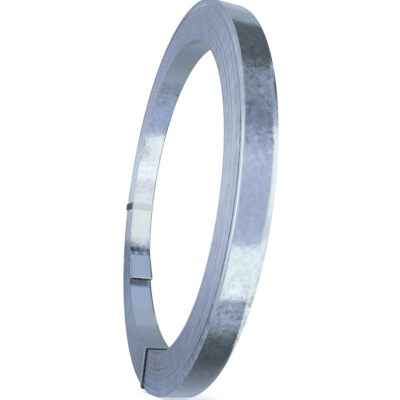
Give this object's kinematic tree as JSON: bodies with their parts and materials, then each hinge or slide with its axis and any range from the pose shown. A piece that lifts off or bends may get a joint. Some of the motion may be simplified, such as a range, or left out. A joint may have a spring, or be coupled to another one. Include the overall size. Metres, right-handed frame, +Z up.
{
  "type": "steel strip coil",
  "caption": "Ribbon-wound coil of flat steel strip standing on its rim, with an open bore, a loose inner end and narrow tie straps.",
  "frame": {"origin": "on the floor, under the middle of the part's box", "axes": "+Z up, the coil's axis along Y, the strip winding outwards clockwise as seen from -Y"},
  "size_m": [0.4758, 0.0342, 0.4751],
  "materials": {
    "coil": "bright galvanised strip",
    "tie_strap": "satin",
    "tie_seal": "satin"
  },
  "bodies": {
    "root": {"coil": "coil", "tie_strap_1": "tie_strap", "tie_seal_1": "tie_seal", "tie_strap_2": "tie_strap", "tie_seal_2": "tie_seal"}
  },
  "joints": []
}
